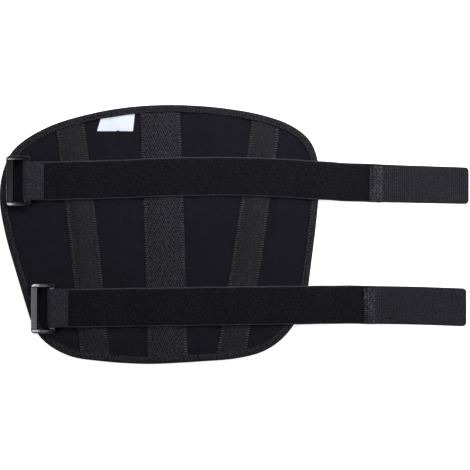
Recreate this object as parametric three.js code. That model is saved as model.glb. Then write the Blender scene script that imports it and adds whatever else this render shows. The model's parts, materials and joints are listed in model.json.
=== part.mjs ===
// Forearm splint, laid out flat with its outer face up: a foam panel bound all round, three stay pockets
// sewn on it, and two plush straps, each folded round a plastic ring at one end and ending in a hook tab.
// Millimetres. +X runs round the forearm towards the strap tips, +Y towards the elbow, +Z up from the table.
import * as THREE from "three";

// Overall sizes
const OVERALL_LENGTH = 462; // panel's left edge to the upper strap's tip
const PANEL_WIDTH = 314; // round the forearm
const PANEL_LENGTH = 255; // along the forearm
const GAP = 0.3; // clearance between pieces that touch

// Foam panel: full thickness in the middle, pressed thinner where the binding holds its edge
const PANEL_THICKNESS = 4.6;
const PANEL_EDGE_THICKNESS = 3;
const EDGE_EASE = 9; // how far inside the binding the foam takes to reach full thickness
const CURL_LEFT = 3; // rise of the left margin off the table
const CURL_RIGHT = 4;
const WAVE_RISE = 2; // rise of the elbow and wrist edges between two stays
const WAVE_START = 0.27; // share of the panel's length from its middle where that rise begins

// Edge binding
const BINDING_WIDTH = 7.4;
const BINDING_WALL = 1;
const BINDING_ROUND = 1.2; // chamfer of its outer corners
const BINDING_STEP_MARGIN = 5; // how far the binding stays raised beside a piece that runs under it
const BINDING_STEP_RUN = 6; // how far it takes to come down again

// Stay pockets: webbing, flat at its sewn edges and crowned over the stay
const WEBBING = 1.2;
const CENTRE_POCKET_WIDTH = 39.4;
const SIDE_POCKET_WIDTH = 28.6;
const SEWN_MARGIN = 4.5;
const CENTRE_CROWN = 2;
const SIDE_CROWN = 1.8;
const CROWN_END = 26; // length over which the crown dies away towards each end
const POCKET_TUCK = 5.4; // length of each end that lies under the binding

// Label
const LABEL_WIDTH = 36;
const LABEL_THICKNESS = 1;
const LABEL_DROP = 0.398; // its free edge, as a share of the panel's length from the middle
const LABEL_ACROSS = -0.141;
const LABEL_LEAN = 0.2; // how far it leans to the right on the way up
const LABEL_TUCK = 4;

// Straps
const STRAP_WIDTH = 38;
const STRAP_THICKNESS = 2.1;
const FOLD_LENGTH = 21.5; // from the loop's outside to the sewn end of the fold
const FOLD_SLOPE = THREE.MathUtils.degToRad(55); // how steeply the fold comes down behind the ring
const FOLD_FILLET = 3;
const DRAPE_RADIUS = 18; // tightest bend of a strap as it drops over an edge
const HOOK_LENGTH = 101;
const HOOK_OVERLAP = 11.8;
const HOOK_THICKNESS = 2;
const HOOK_WIDTH = 37.6;
const HOOK_CORNER = 3;
const HOOK_BEND = 12;

// Rings
const RING_WIDTH = 24.4; // along the strap
const RING_HEIGHT = 49.4; // across the strap
const RING_THICKNESS = 4.6;
const RING_LONG_BAR = 6.6;
const RING_SIDE_BAR = 4.5;
const RING_OUTER_CORNER = 3.6;
const RING_INNER_CORNER = 1.2;
const RING_BEVEL = 1.4;
const RING_SWING_CLEARANCE = 0.4; // between the ring's bar and the strap's loop

// Outline of the bound panel, anticlockwise from the elbow edge, in shares of its width and length
const OUTLINE = [
  { across: -0.08, along: 0.493 },
  { across: -0.211, along: 0.467 },
  { across: -0.336, along: 0.422 },
  { across: -0.422, along: 0.365 },
  { across: -0.467, along: 0.31 },
  { across: -0.493, along: 0.226 },
  { across: -0.5, along: 0.133 },
  { across: -0.482, along: 0 },
  { across: -0.449, along: -0.145 },
  { across: -0.42, along: -0.265 },
  { across: -0.392, along: -0.365 },
  { across: -0.352, along: -0.423 },
  { across: -0.281, along: -0.47 },
  { across: -0.186, along: -0.489 },
  { across: -0.035, along: -0.5 },
  { across: 0.115, along: -0.491 },
  { across: 0.25, along: -0.477 },
  { across: 0.336, along: -0.446 },
  { across: 0.405, along: -0.377 },
  { across: 0.458, along: -0.25 },
  { across: 0.474, along: -0.12 },
  { across: 0.491, along: 0.04 },
  { across: 0.5, along: 0.19 },
  { across: 0.496, along: 0.287 },
  { across: 0.472, along: 0.362 },
  { across: 0.416, along: 0.419 },
  { across: 0.322, along: 0.461 },
  { across: 0.197, along: 0.488 },
  { across: 0.05, along: 0.5 },
];

function material(color, roughness) {
  return new THREE.MeshStandardMaterial({ color, roughness, metalness: 0 });
}

const FOAM_CLOTH = material("#1c1b21", 0.9);
const BINDING_TAPE = material("#2b2b2f", 0.85);
const HERRINGBONE = material("#303035", 0.8);
const PLAIN_WEBBING = material("#28292a", 0.85);
const PLUSH = material("#17161b", 1);
const HOOK_TAPE = material("#2a2930", 0.7);
const LABEL_CLOTH = material("#e9edf6", 0.8);
const RING_PLASTIC = material("#141416", 0.3);

const SIDE_POCKET = { width: SIDE_POCKET_WIDTH, crown: SIDE_CROWN, finish: PLAIN_WEBBING };
const CENTRE_POCKET = { width: CENTRE_POCKET_WIDTH, crown: CENTRE_CROWN, finish: HERRINGBONE };

// Stay pockets: where the middle line meets the elbow and wrist edges, and its bow, as shares of the width
const POCKETS = [
  { name: "left_stay_pocket", ...SIDE_POCKET, elbow: -0.289, wrist: -0.2, bow: 0.006 },
  { name: "centre_stay_pocket", ...CENTRE_POCKET, elbow: 0.001, wrist: 0.026, bow: 0.002 },
  { name: "right_stay_pocket", ...SIDE_POCKET, elbow: 0.34, wrist: 0.219, bow: 0.006 },
];

// Straps. ringIn is the ring's outer edge from the panel's left edge, as a share of the panel's width, and
// along is where the strap crosses, as a share of its length. tipShort and tipDrift, how far the tip stops
// short and drifts off line, and shift, how far the strap bows aside, are shares of the strap's width.
// hookLength and tipWidth are shares of the hook tab's usual sizes.
const STRAPS = [
  {
    name: "upper",
    ringIn: 0.0226,
    along: 0.2055,
    tipShort: 0,
    tipDrift: -0.116,
    hookLength: 0.976,
    tipWidth: 0.963,
    bows: [
      { run: 0, shift: 0 },
      { run: 0.17, shift: 0.07 },
      { run: 0.31, shift: 0.147 },
      { run: 0.44, shift: 0.175 },
      { run: 0.55, shift: 0.15 },
      { run: 0.67, shift: 0.076 },
      { run: 0.78, shift: 0.042 },
      { run: 1, shift: 0 },
    ],
  },
  {
    name: "lower",
    ringIn: 0.0997,
    along: -0.2843,
    tipShort: 0.063,
    tipDrift: 0.013,
    hookLength: 1.006,
    tipWidth: 1,
    bows: [
      { run: 0, shift: 0 },
      { run: 0.27, shift: 0.037 },
      { run: 0.43, shift: 0.058 },
      { run: 0.66, shift: 0.079 },
      { run: 0.86, shift: 0.05 },
      { run: 1, shift: 0 },
    ],
  },
];

// Mesh fineness
const BINDING_STEP = 7.5; // between sections round the outline
const PANEL_STEP = 15;
const POCKET_ROWS = 18;
const STRAP_STEP = 6.5;
const FOLD_STEPS = 24;
const SETTLING = 3; // passes that ease a strap's hollows
const CORNER_STEPS = 4;

const PANEL_LEFT = -OVERALL_LENGTH / 2;
const PANEL_RIGHT = PANEL_LEFT + PANEL_WIDTH;
const PANEL_MIDDLE = (PANEL_LEFT + PANEL_RIGHT) / 2;
const PANEL_EDGE_INSET = BINDING_WALL + GAP;
const PANEL_EDGE_TOP = PANEL_EDGE_INSET + PANEL_EDGE_THICKNESS;
const BINDING_HEIGHT = PANEL_EDGE_TOP + GAP + BINDING_WALL;

const { clamp, lerp, smoothstep } = THREE.MathUtils;

const outlineCurve = new THREE.CatmullRomCurve3(
  OUTLINE.map(({ across, along }) => {
    return new THREE.Vector3(PANEL_MIDDLE + across * PANEL_WIDTH, along * PANEL_LENGTH, 0);
  }),
  true,
);
outlineCurve.arcLengthDivisions = 1200;
const outlineCorners = outlineCurve.getSpacedPoints(360).slice(0, -1);

// Point of the outline at a share of its length, moved inwards by a distance
function outlinePoint(share, inset) {
  const turn = ((share % 1) + 1) % 1;
  const point = outlineCurve.getPointAt(turn);
  const tangent = outlineCurve.getTangentAt(turn);
  return new THREE.Vector2(point.x - tangent.y * inset, point.y + tangent.x * inset);
}

// Distance inside the outline, negative outside it
function insetAt(x, y) {
  let nearest = Infinity;
  let inside = false;
  outlineCorners.forEach((a, i) => {
    const b = outlineCorners[(i + 1) % outlineCorners.length];
    const share = clamp(((x - a.x) * (b.x - a.x) + (y - a.y) * (b.y - a.y)) / a.distanceToSquared(b), 0, 1);
    nearest = Math.min(nearest, Math.hypot(x - lerp(a.x, b.x, share), y - lerp(a.y, b.y, share)));
    if (a.y > y !== b.y > y && x < a.x + ((y - a.y) * (b.x - a.x)) / (b.y - a.y)) inside = !inside;
  });
  return inside ? nearest : -nearest;
}

// X of a pocket's middle line at a height along the forearm
function pocketLine(pocket, y) {
  const up = y / PANEL_LENGTH + 0.5;
  const across = lerp(pocket.wrist, pocket.elbow, up) + pocket.bow * 4 * up * (1 - up);
  return PANEL_MIDDLE + across * PANEL_WIDTH;
}

// Height of the panel's underside off the table: its margins curl up, and its ends lift between the stays
function lift(x, y) {
  const stays = POCKETS.map((pocket) => pocketLine(pocket, y));
  if (x < stays[0]) return CURL_LEFT * ((stays[0] - x) / (stays[0] - PANEL_LEFT)) ** 2;
  if (x > stays[2]) return CURL_RIGHT * ((x - stays[2]) / (PANEL_RIGHT - stays[2])) ** 2;
  const bay = x < stays[1] ? 0 : 1;
  const share = (x - stays[bay]) / (stays[bay + 1] - stays[bay]);
  const ramp = clamp((Math.abs(y) / PANEL_LENGTH - WAVE_START) / (0.5 - WAVE_START), 0, 1) ** 2;
  return WAVE_RISE * ramp * Math.sin(Math.PI * share) ** 2;
}

function panelUnderside(x, y, inset) {
  return lift(x, y) + PANEL_EDGE_INSET * (1 - smoothstep(inset, BINDING_WIDTH, BINDING_WIDTH + EDGE_EASE));
}

function panelTop(x, y, inset) {
  const grown = smoothstep(inset, BINDING_WIDTH, BINDING_WIDTH + EDGE_EASE);
  return lift(x, y) + lerp(PANEL_EDGE_TOP, PANEL_THICKNESS, grown);
}

// Extra height of the webbing over its stay, by distance from its middle line and from its nearer end
function crownAt(pocket, aside, fromEnd) {
  const half = pocket.width / 2 - SEWN_MARGIN;
  const across = aside < half ? Math.cos((Math.PI / 2) * (aside / half)) ** 0.7 : 0;
  return pocket.crown * across * smoothstep(fromEnd, 0, CROWN_END);
}

const labelMiddle = PANEL_MIDDLE + LABEL_ACROSS * PANEL_WIDTH;
const underBinding = [
  ...POCKETS.map((pocket) => ({
    thickness: WEBBING,
    aside: (x, y) => Math.abs(x - pocketLine(pocket, y)) - pocket.width / 2,
  })),
  {
    thickness: LABEL_THICKNESS,
    aside: (x, y) => (y > 0 ? Math.abs(x - labelMiddle) - LABEL_WIDTH / 2 : Infinity),
  },
];

// How much the binding rises over the pocket ends and the label that run under it
function bindingRise(x, y) {
  return Math.max(
    ...underBinding.map(({ thickness, aside }) => {
      const beyond = aside(x, y) - BINDING_STEP_MARGIN;
      return (thickness + GAP) * (1 - smoothstep(beyond, 0, BINDING_STEP_RUN));
    }),
  );
}

// Top of whatever lies at a point, for the straps and rings that rest on it
function topAt(x, y) {
  const inset = insetAt(x, y);
  if (inset < 0) return -GAP;
  if (inset < BINDING_WIDTH + GAP) return lift(x, y) + BINDING_HEIGHT + bindingRise(x, y);
  let top = panelTop(x, y, inset);
  POCKETS.forEach((pocket) => {
    const aside = Math.abs(x - pocketLine(pocket, y));
    if (aside < pocket.width / 2 + GAP) {
      const crown = crownAt(pocket, aside, inset - BINDING_WIDTH);
      top = Math.max(top, panelTop(x, y, inset) + GAP + WEBBING + crown);
    }
  });
  return top;
}

function named(name, geometry, finish) {
  const mesh = new THREE.Mesh(geometry, finish);
  mesh.name = name;
  return mesh;
}

// A box in rows and columns, each corner put in place by a function of its shares of the three sides
function shapedBox(columns, rows, place) {
  const geometry = new THREE.BoxGeometry(1, 1, 1, columns, rows, 1);
  const corners = geometry.getAttribute("position");
  for (let i = 0; i < corners.count; i += 1) {
    const { x, y, z } = place(corners.getX(i) + 0.5, corners.getY(i) + 0.5, corners.getZ(i) + 0.5);
    corners.setXYZ(i, x, y, z);
  }
  geometry.computeVertexNormals();
  return geometry;
}

// A profile carried round the outline, each corner put in place by its share of the way round
function shapedTurning(corners, step, place) {
  const sections = Math.round(outlineCurve.getLength() / step);
  const profile = corners.map((_, i) => new THREE.Vector2(1, i));
  const geometry = new THREE.LatheGeometry(profile, sections);
  const position = geometry.getAttribute("position");
  for (let i = 0; i < position.count; i += 1) {
    const section = Math.floor(i / corners.length) % sections;
    const { x, y, z } = place(corners[i % corners.length], section / sections);
    position.setXYZ(i, x, y, z);
  }
  geometry.computeVertexNormals();
  return geometry;
}

// Foam panel: rings of corners from its middle out along the underside, and back over the top
function panel() {
  const middle = new THREE.Vector2(PANEL_MIDDLE, 0);
  const inner = BINDING_WIDTH + EDGE_EASE;
  const reaches = [
    { share: 0, inset: inner },
    { share: 0.3, inset: inner },
    { share: 0.55, inset: inner },
    { share: 0.8, inset: inner },
    { share: 1, inset: inner },
    { share: 1, inset: BINDING_WIDTH + EDGE_EASE / 2 },
    { share: 1, inset: BINDING_WIDTH },
    { share: 1, inset: PANEL_EDGE_INSET },
  ];
  const under = reaches.map((reach) => ({ ...reach, height: panelUnderside }));
  const over = reaches.map((reach) => ({ ...reach, height: panelTop })).reverse();
  const geometry = shapedTurning([...under, ...over], PANEL_STEP, ({ share, inset, height }, turn) => {
    const spot = outlinePoint(turn, inset).sub(middle).multiplyScalar(share).add(middle);
    const depth = share < 1 ? inner : inset;
    return new THREE.Vector3(spot.x, spot.y, height(spot.x, spot.y, depth));
  });
  return named("foam_panel", geometry, FOAM_CLOTH);
}

// Edge binding: a folded tape, round the panel's edge and back over both faces
function binding() {
  const corners = [
    { inset: BINDING_WIDTH, rise: 0 },
    { inset: BINDING_ROUND, rise: 0 },
    { inset: 0, rise: BINDING_ROUND },
    { inset: 0, fall: BINDING_ROUND },
    { inset: BINDING_ROUND, fall: 0 },
    { inset: BINDING_WIDTH, fall: 0 },
    { inset: BINDING_WIDTH, fall: BINDING_WALL },
    { inset: BINDING_WALL, fall: BINDING_WALL },
    { inset: BINDING_WALL, rise: BINDING_WALL },
    { inset: BINDING_WIDTH, rise: BINDING_WALL },
  ];
  corners.push(corners[0]);
  const geometry = shapedTurning(corners, BINDING_STEP, ({ inset, rise, fall }, turn) => {
    const spot = outlinePoint(turn, inset);
    const edge = outlinePoint(turn, BINDING_WIDTH / 2);
    const top = BINDING_HEIGHT + bindingRise(edge.x, edge.y);
    const height = rise === undefined ? top - fall : rise;
    return new THREE.Vector3(spot.x, spot.y, lift(spot.x, spot.y) + height);
  });
  return named("edge_binding", geometry, BINDING_TAPE);
}

// How far along Y a line, given as X by Y, can run from a start before it comes this close to the outline
function reachOf(lineX, startY, direction, inset) {
  let near = 0;
  let far = PANEL_LENGTH / 2 - Math.abs(startY) + PANEL_LENGTH / 2;
  for (let i = 0; i < 40; i += 1) {
    const half = (near + far) / 2;
    const y = startY + direction * half;
    if (insetAt(lineX(y), y) > inset) near = half;
    else far = half;
  }
  return startY + direction * near;
}

// Stay pocket: a strip of webbing from binding to binding, crowned over its stay
function stayPocket(pocket) {
  const tuck = BINDING_WIDTH - POCKET_TUCK;
  const half = pocket.width / 2;
  const loose = half - SEWN_MARGIN;
  const columns = [-half, -loose, -loose / 2, 0, loose / 2, loose, half];
  const ends = columns.map((aside) => {
    const lineX = (y) => pocketLine(pocket, y) + aside;
    return { wrist: reachOf(lineX, 0, -1, tuck), elbow: reachOf(lineX, 0, 1, tuck) };
  });
  const last = columns.length - 1;
  const geometry = shapedBox(last, POCKET_ROWS, (u, v, w) => {
    const column = Math.round(u * last);
    const y = lerp(ends[column].wrist, ends[column].elbow, (1 - Math.cos(Math.PI * v)) / 2);
    const x = pocketLine(pocket, y) + columns[column];
    const inset = insetAt(x, y);
    const crown = crownAt(pocket, Math.abs(columns[column]), inset - BINDING_WIDTH);
    return new THREE.Vector3(x, y, panelTop(x, y, inset) + GAP + crown + w * WEBBING);
  });
  return named(pocket.name, geometry, pocket.finish);
}

// Label: a short tape that hangs from under the binding
function label() {
  const freeEdge = LABEL_DROP * PANEL_LENGTH;
  const columns = 6;
  const rows = 4;
  const geometry = shapedBox(columns, rows, (u, v, w) => {
    const lineX = (y) => labelMiddle + (u - 0.5) * LABEL_WIDTH + LABEL_LEAN * (y - freeEdge);
    const y = lerp(freeEdge, reachOf(lineX, freeEdge, 1, BINDING_WIDTH - LABEL_TUCK), v);
    const x = lineX(y);
    return new THREE.Vector3(x, y, panelTop(x, y, insetAt(x, y)) + GAP + w * LABEL_THICKNESS);
  });
  return named("label", geometry, LABEL_CLOTH);
}

// Value between the rows of a table, on a smooth curve through them
function alongTable(rows, run) {
  const last = rows.length - 1;
  let i = 0;
  while (i < last - 1 && run > rows[i + 1].run) i += 1;
  const slopeAt = (n) => {
    const before = rows[Math.max(n - 1, 0)];
    const after = rows[Math.min(n + 1, last)];
    return (after.shift - before.shift) / (after.run - before.run);
  };
  const [a, b] = [rows[i], rows[i + 1]];
  const length = b.run - a.run;
  const t = clamp((run - a.run) / length, 0, 1);
  const rise = t * t * (3 - 2 * t);
  const start = t * (1 - t) * (1 - t) * length * slopeAt(i);
  const end = t * t * (t - 1) * length * slopeAt(i + 1);
  return lerp(a.shift, b.shift, rise) + start + end;
}

// Highest support under a strap at each of its stations, rounded off to the bend that the strap can take
function draped(stations, supports, radius) {
  const rested = stations.map((x) =>
    Math.max(...stations.map((other, i) => supports[i] - (x - other) ** 2 / (2 * radius))),
  );
  let settled = rested;
  for (let pass = 0; pass < SETTLING; pass += 1) {
    settled = settled.map((height, i, all) => {
      const before = all[Math.max(i - 1, 0)];
      const after = all[Math.min(i + 1, all.length - 1)];
      return Math.max(height, (before + 2 * height + after) / 4);
    });
  }
  return settled;
}

// Sizes that a strap, its ring and its hook tab share
function strapLayout(strap) {
  const ringLeft = PANEL_LEFT + strap.ringIn * PANEL_WIDTH;
  const hinge = ringLeft + RING_WIDTH - RING_LONG_BAR / 2;
  const loopRadius = RING_LONG_BAR / 2 + RING_SWING_CLEARANCE + STRAP_THICKNESS / 2;
  const foldEnd = hinge - loopRadius - STRAP_THICKNESS / 2 + FOLD_LENGTH;
  const tip = OVERALL_LENGTH / 2 - strap.tipShort * STRAP_WIDTH;
  const hookStart = tip - strap.hookLength * HOOK_LENGTH;
  const strapEnd = hookStart + HOOK_OVERLAP;
  const startY = strap.along * PANEL_LENGTH;
  const middleAt = (x) => {
    const run = clamp((x - foldEnd) / (tip - foldEnd), 0, 1);
    return startY + (strap.tipDrift * run + alongTable(strap.bows, run)) * STRAP_WIDTH;
  };
  const supportAt = (x) => {
    const heights = [];
    [-1, -0.5, 0, 0.5, 1].forEach((step) => {
      [-0.5, -0.25, 0, 0.25, 0.5].forEach((aside) => {
        heights.push(topAt(x + step * STRAP_STEP, middleAt(x) + aside * STRAP_WIDTH));
      });
    });
    return Math.max(...heights) + GAP;
  };
  const count = Math.ceil((strapEnd - hinge) / STRAP_STEP);
  const stations = Array.from({ length: count + 1 }, (_, i) => lerp(hinge, strapEnd, i / count));
  const supports = stations.map(supportAt);
  const undersides = draped(stations, supports, DRAPE_RADIUS);
  const undersideAt = (x) => {
    const place = clamp(((x - hinge) / (strapEnd - hinge)) * count, 0, count);
    const i = Math.min(Math.floor(place), count - 1);
    return lerp(undersides[i], undersides[i + 1], place - i);
  };
  const hingeHeight = undersides[0] + STRAP_THICKNESS / 2 + loopRadius;
  return {
    ringLeft,
    hinge,
    hingeHeight,
    loopRadius,
    foldEnd,
    tip,
    hookStart,
    strapEnd,
    startY,
    middleAt,
    stations,
    undersideAt,
  };
}

// Strap: from its sewn fold, back round the ring's bar, and along the panel to where the hook tab is sewn on
function plushStrap(strap, layout) {
  const { hinge, hingeHeight, loopRadius, foldEnd, middleAt, stations, undersideAt } = layout;
  const half = STRAP_THICKNESS / 2;
  const path = [];
  const fold = new THREE.Path();
  const leave = new THREE.Vector2(Math.sin(FOLD_SLOPE), Math.cos(FOLD_SLOPE)).multiplyScalar(loopRadius);
  const upperMiddle = (x) => undersideAt(x) + STRAP_THICKNESS + GAP + half;
  const level = upperMiddle(hinge + leave.x) - hingeHeight;
  const landing = leave.x + (leave.y - level) / Math.tan(FOLD_SLOPE);
  const foot = landing + FOLD_FILLET * Math.tan(FOLD_SLOPE / 2);
  fold.moveTo(foot, level);
  fold.absarc(foot, level + FOLD_FILLET, FOLD_FILLET, -Math.PI / 2, -Math.PI / 2 - FOLD_SLOPE, true);
  fold.lineTo(leave.x, leave.y);
  fold.absarc(0, 0, loopRadius, Math.PI / 2 - FOLD_SLOPE, Math.PI * 1.5, false);
  const flatSteps = 3;
  for (let i = 0; i < flatSteps; i += 1) {
    const x = lerp(foldEnd, hinge + foot, i / flatSteps);
    path.push({ x, z: upperMiddle(x), normal: new THREE.Vector2(0, -1) });
  }
  const bends = fold.getSpacedPoints(FOLD_STEPS);
  bends.forEach((point, i) => {
    const before = bends[Math.max(i - 1, 0)];
    const after = bends[Math.min(i + 1, bends.length - 1)];
    const heading = new THREE.Vector2().subVectors(after, before).normalize();
    if (i === 0) heading.set(-1, 0);
    if (i === bends.length - 1) heading.set(1, 0);
    const normal = new THREE.Vector2(-heading.y, heading.x);
    path.push({ x: hinge + point.x, z: hingeHeight + point.y, normal });
  });
  stations.slice(1).forEach((x) => {
    path.push({ x, z: undersideAt(x) + half, normal: new THREE.Vector2(0, 1) });
  });
  const last = path.length - 1;
  const geometry = shapedBox(last, 1, (u, v, w) => {
    const { x, z, normal } = path[Math.round(u * last)];
    const aside = (w - 0.5) * STRAP_THICKNESS;
    const y = middleAt(x) + (v - 0.5) * STRAP_WIDTH;
    return new THREE.Vector3(x + normal.x * aside, y, z + normal.y * aside);
  });
  return named(`${strap.name}_strap`, geometry, PLUSH);
}

// Hook tab: sewn on top of the strap's end, then down on the table to its rounded tip
function hookTab(strap, layout) {
  const { tip, hookStart, strapEnd, middleAt, undersideAt } = layout;
  const count = 16;
  const even = Array.from({ length: count }, (_, i) => lerp(hookStart, tip - HOOK_CORNER, i / (count - 1)));
  const corner = Array.from({ length: CORNER_STEPS }, (_, i) => {
    const turn = ((i + 1) / CORNER_STEPS) * (Math.PI / 2);
    return tip - HOOK_CORNER + HOOK_CORNER * Math.sin(turn);
  });
  const stations = [...even, ...corner];
  const step = (tip - hookStart) / count;
  const supports = stations.map((x) =>
    x - step < strapEnd ? undersideAt(Math.min(x, strapEnd)) + STRAP_THICKNESS + GAP : 0,
  );
  const undersides = draped(stations, supports, HOOK_BEND);
  const last = stations.length - 1;
  const geometry = shapedBox(last, 2, (u, v, w) => {
    const i = Math.round(u * last);
    const x = stations[i];
    const intoCorner = Math.max(x - (tip - HOOK_CORNER), 0);
    const cut = HOOK_CORNER - Math.sqrt(HOOK_CORNER ** 2 - intoCorner ** 2);
    const width = HOOK_WIDTH * lerp(1, strap.tipWidth, (x - hookStart) / (tip - hookStart)) - 2 * cut;
    return new THREE.Vector3(x, middleAt(x) + (v - 0.5) * width, undersides[i] + w * HOOK_THICKNESS);
  });
  return named(`${strap.name}_hook_tab`, geometry, HOOK_TAPE);
}

function roundedRectangle(Kind, left, bottom, right, top, corner) {
  const path = new Kind();
  path.absarc(right - corner, bottom + corner, corner, -Math.PI / 2, 0, false);
  path.absarc(right - corner, top - corner, corner, 0, Math.PI / 2, false);
  path.absarc(left + corner, top - corner, corner, Math.PI / 2, Math.PI, false);
  path.absarc(left + corner, bottom + corner, corner, Math.PI, Math.PI * 1.5, false);
  return path;
}

// Ring: a plastic frame that lies on the panel and swings about its hidden bar in the strap's loop
function ring(strap, layout) {
  const right = RING_LONG_BAR / 2;
  const left = right - RING_WIDTH;
  const half = RING_HEIGHT / 2;
  const frame = roundedRectangle(THREE.Shape, left, -half, right, half, RING_OUTER_CORNER);
  const inner = half - RING_SIDE_BAR;
  const barInside = left + RING_LONG_BAR;
  frame.holes.push(roundedRectangle(THREE.Path, barInside, -inner, -right, inner, RING_INNER_CORNER));
  const geometry = new THREE.ExtrudeGeometry(frame, {
    depth: RING_THICKNESS - 2 * RING_BEVEL,
    bevelEnabled: true,
    bevelThickness: RING_BEVEL,
    bevelSize: RING_BEVEL,
    bevelOffset: -RING_BEVEL,
    bevelSegments: 2,
    curveSegments: 2,
  });
  geometry.translate(0, 0, RING_BEVEL - RING_THICKNESS / 2);
  const rests = [];
  const steps = 10;
  for (let i = 0; i <= steps; i += 1) {
    const y = layout.startY + (i / steps - 0.5) * RING_HEIGHT;
    [0, 0.5, 1].forEach((share) => rests.push(topAt(layout.ringLeft + share * RING_LONG_BAR, y)));
  }
  const barHeight = Math.max(...rests) + GAP + RING_THICKNESS / 2;
  const mesh = named(`${strap.name}_ring`, geometry, RING_PLASTIC);
  mesh.position.set(layout.hinge, layout.startY, layout.hingeHeight);
  mesh.rotation.y = -Math.asin((layout.hingeHeight - barHeight) / (RING_WIDTH - RING_LONG_BAR));
  return mesh;
}

const splint = new THREE.Group();
splint.name = "forearm_splint";
splint.add(panel(), binding(), ...POCKETS.map(stayPocket), label());
STRAPS.forEach((strap) => {
  const layout = strapLayout(strap);
  splint.add(plushStrap(strap, layout), hookTab(strap, layout), ring(strap, layout));
});

export default splint;
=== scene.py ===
"""Forearm splint lying flat on a pale floor, seen from straight above. Metres, in the frame's own axes."""

import json
import math

import bmesh
import bpy
import numpy as np
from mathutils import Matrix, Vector
from mathutils.bvhtree import BVHTree
from mathutils.geometry import convex_hull_2d


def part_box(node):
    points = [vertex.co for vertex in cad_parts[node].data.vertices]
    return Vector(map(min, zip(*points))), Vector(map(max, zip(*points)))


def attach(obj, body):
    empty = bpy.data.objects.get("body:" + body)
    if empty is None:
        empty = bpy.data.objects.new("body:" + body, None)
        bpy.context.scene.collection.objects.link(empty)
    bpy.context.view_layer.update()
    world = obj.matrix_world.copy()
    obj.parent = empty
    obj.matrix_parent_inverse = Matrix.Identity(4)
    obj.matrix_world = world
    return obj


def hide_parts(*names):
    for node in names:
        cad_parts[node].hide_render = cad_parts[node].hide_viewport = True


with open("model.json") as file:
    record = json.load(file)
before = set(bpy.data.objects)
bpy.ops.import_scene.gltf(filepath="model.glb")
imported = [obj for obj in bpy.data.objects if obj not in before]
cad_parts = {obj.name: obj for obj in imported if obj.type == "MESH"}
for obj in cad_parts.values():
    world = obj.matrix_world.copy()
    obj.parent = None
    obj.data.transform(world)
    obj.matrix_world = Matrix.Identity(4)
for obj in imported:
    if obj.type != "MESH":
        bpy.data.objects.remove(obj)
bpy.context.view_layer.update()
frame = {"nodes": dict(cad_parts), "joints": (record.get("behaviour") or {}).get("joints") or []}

MM = 0.001
STRAPS = ("upper", "lower")
STRAP_HALF = 19 * MM
STRAP_THICKNESS = 2.1 * MM
FOLD_LENGTH = 21.5 * MM
FOLD_SLOPE = math.radians(55)  # how steeply the fold's upper layer comes down off the ring's bar
BINDING_WIDTH = 7.4 * MM
BINDING_OVERHANG = 1.6 * MM  # from the foam's edge to the outside of the binding
WEBBING = 1.2 * MM  # thickness of a pocket
LABEL_CUT = 35.2 * MM  # width of the label's tape
TAPE = 1.1 * MM  # thickness of the hook tape's ground
TAB_STEP = 2 * MM  # from one station of a hook tab to the next
TAB_CORNER = 3.8 * MM
TAB_BRUSHED = 4 * MM  # near end of a tab, where the plush is drawn over it
HOOK_ZONE = {"upper": 13.2 * MM, "lower": 11.6 * MM}  # where the hook tape is sewn, with no hooks standing
RING_THICKNESS = 4.6 * MM
RING_LONG_BAR = 6.6 * MM
RING_HIDDEN_BAR = 5.7 * MM  # inside the strap, so narrower
RING_SIDE_BAR = 4.5 * MM
RING_CORNER = 3.6 * MM
RING_ROUND = 0.9 * MM
LONG_BAR_ROUND = 0.55 * MM  # of the bar that shows, whose edges are sharper
RING_STEP = 0.35 * MM  # how far the end bars stand proud of the long bars
RING_BOW = 0.55 * MM  # rise of an end bar between its ends
RING_DISH = 0.03 * MM  # hollow along the top of a long bar

# The rows of stitches that hold a strap's fold, the first of them measured from the strap's end
FOLD_ROWS = {
    "upper": {"first": 16.0 * MM, "rows": 4, "spacing": 1.6 * MM},
    "lower": {"first": 11.2 * MM, "rows": 5, "spacing": 2.2 * MM},
}

# Half of each pocket's width and, as shares of the panel's width, where its middle line meets the elbow and
# wrist edges and how far it bows
POCKETS = {
    "left_stay_pocket": {"half": 14.3 * MM, "elbow": -0.289, "wrist": -0.2, "bow": 0.006},
    "centre_stay_pocket": {"half": 19.7 * MM, "elbow": 0.001, "wrist": 0.026, "bow": 0.002},
    "right_stay_pocket": {"half": 14.3 * MM, "elbow": 0.34, "wrist": 0.219, "bow": 0.006},
}

binding_low, binding_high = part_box("edge_binding")
PANEL_WIDTH = binding_high.x - binding_low.x
PANEL_LENGTH = binding_high.y - binding_low.y
PANEL_MIDDLE = (binding_low.x + binding_high.x) / 2


# Reading the frame


def surface_of(node):
    mesh = frame["nodes"][node].data
    return BVHTree.FromPolygons([v.co for v in mesh.vertices], [p.vertices for p in mesh.polygons])


surfaces = {node: surface_of(node) for node in frame["nodes"]}


def hit(node, start, way):
    """Where a line from start first meets a node, or None."""
    return surfaces[node].ray_cast(Vector(start), Vector(way))[0]


def height_of(node, x, y, side):
    """Height of a node at one place: of its top where side is 1, and of its underside where side is -1."""
    found = hit(node, (x, y, side), (0, 0, -side))
    return math.nan if found is None else found.z


def top_of(node, x, y):
    return height_of(node, x, y, 1)


def underside_of(node, x, y):
    return height_of(node, x, y, -1)


def sides_of(node, x, z):
    """Lowest and highest Y of a strip at one X and height."""
    low = hit(node, (x, -1, z), (0, 1, 0))
    high = hit(node, (x, 1, z), (0, -1, 0))
    return low.y, high.y


def hinge_of(which):
    """The line that a ring turns about, at the middle of its hidden bar."""
    joint = next(j for j in frame["joints"] if j["name"] == f"{which}_ring_swing")
    return Vector(joint["pos_m"])


def length_of(points):
    """Length of a polyline."""
    return float(np.linalg.norm(np.diff(points, axis=0), axis=1).sum())


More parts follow.
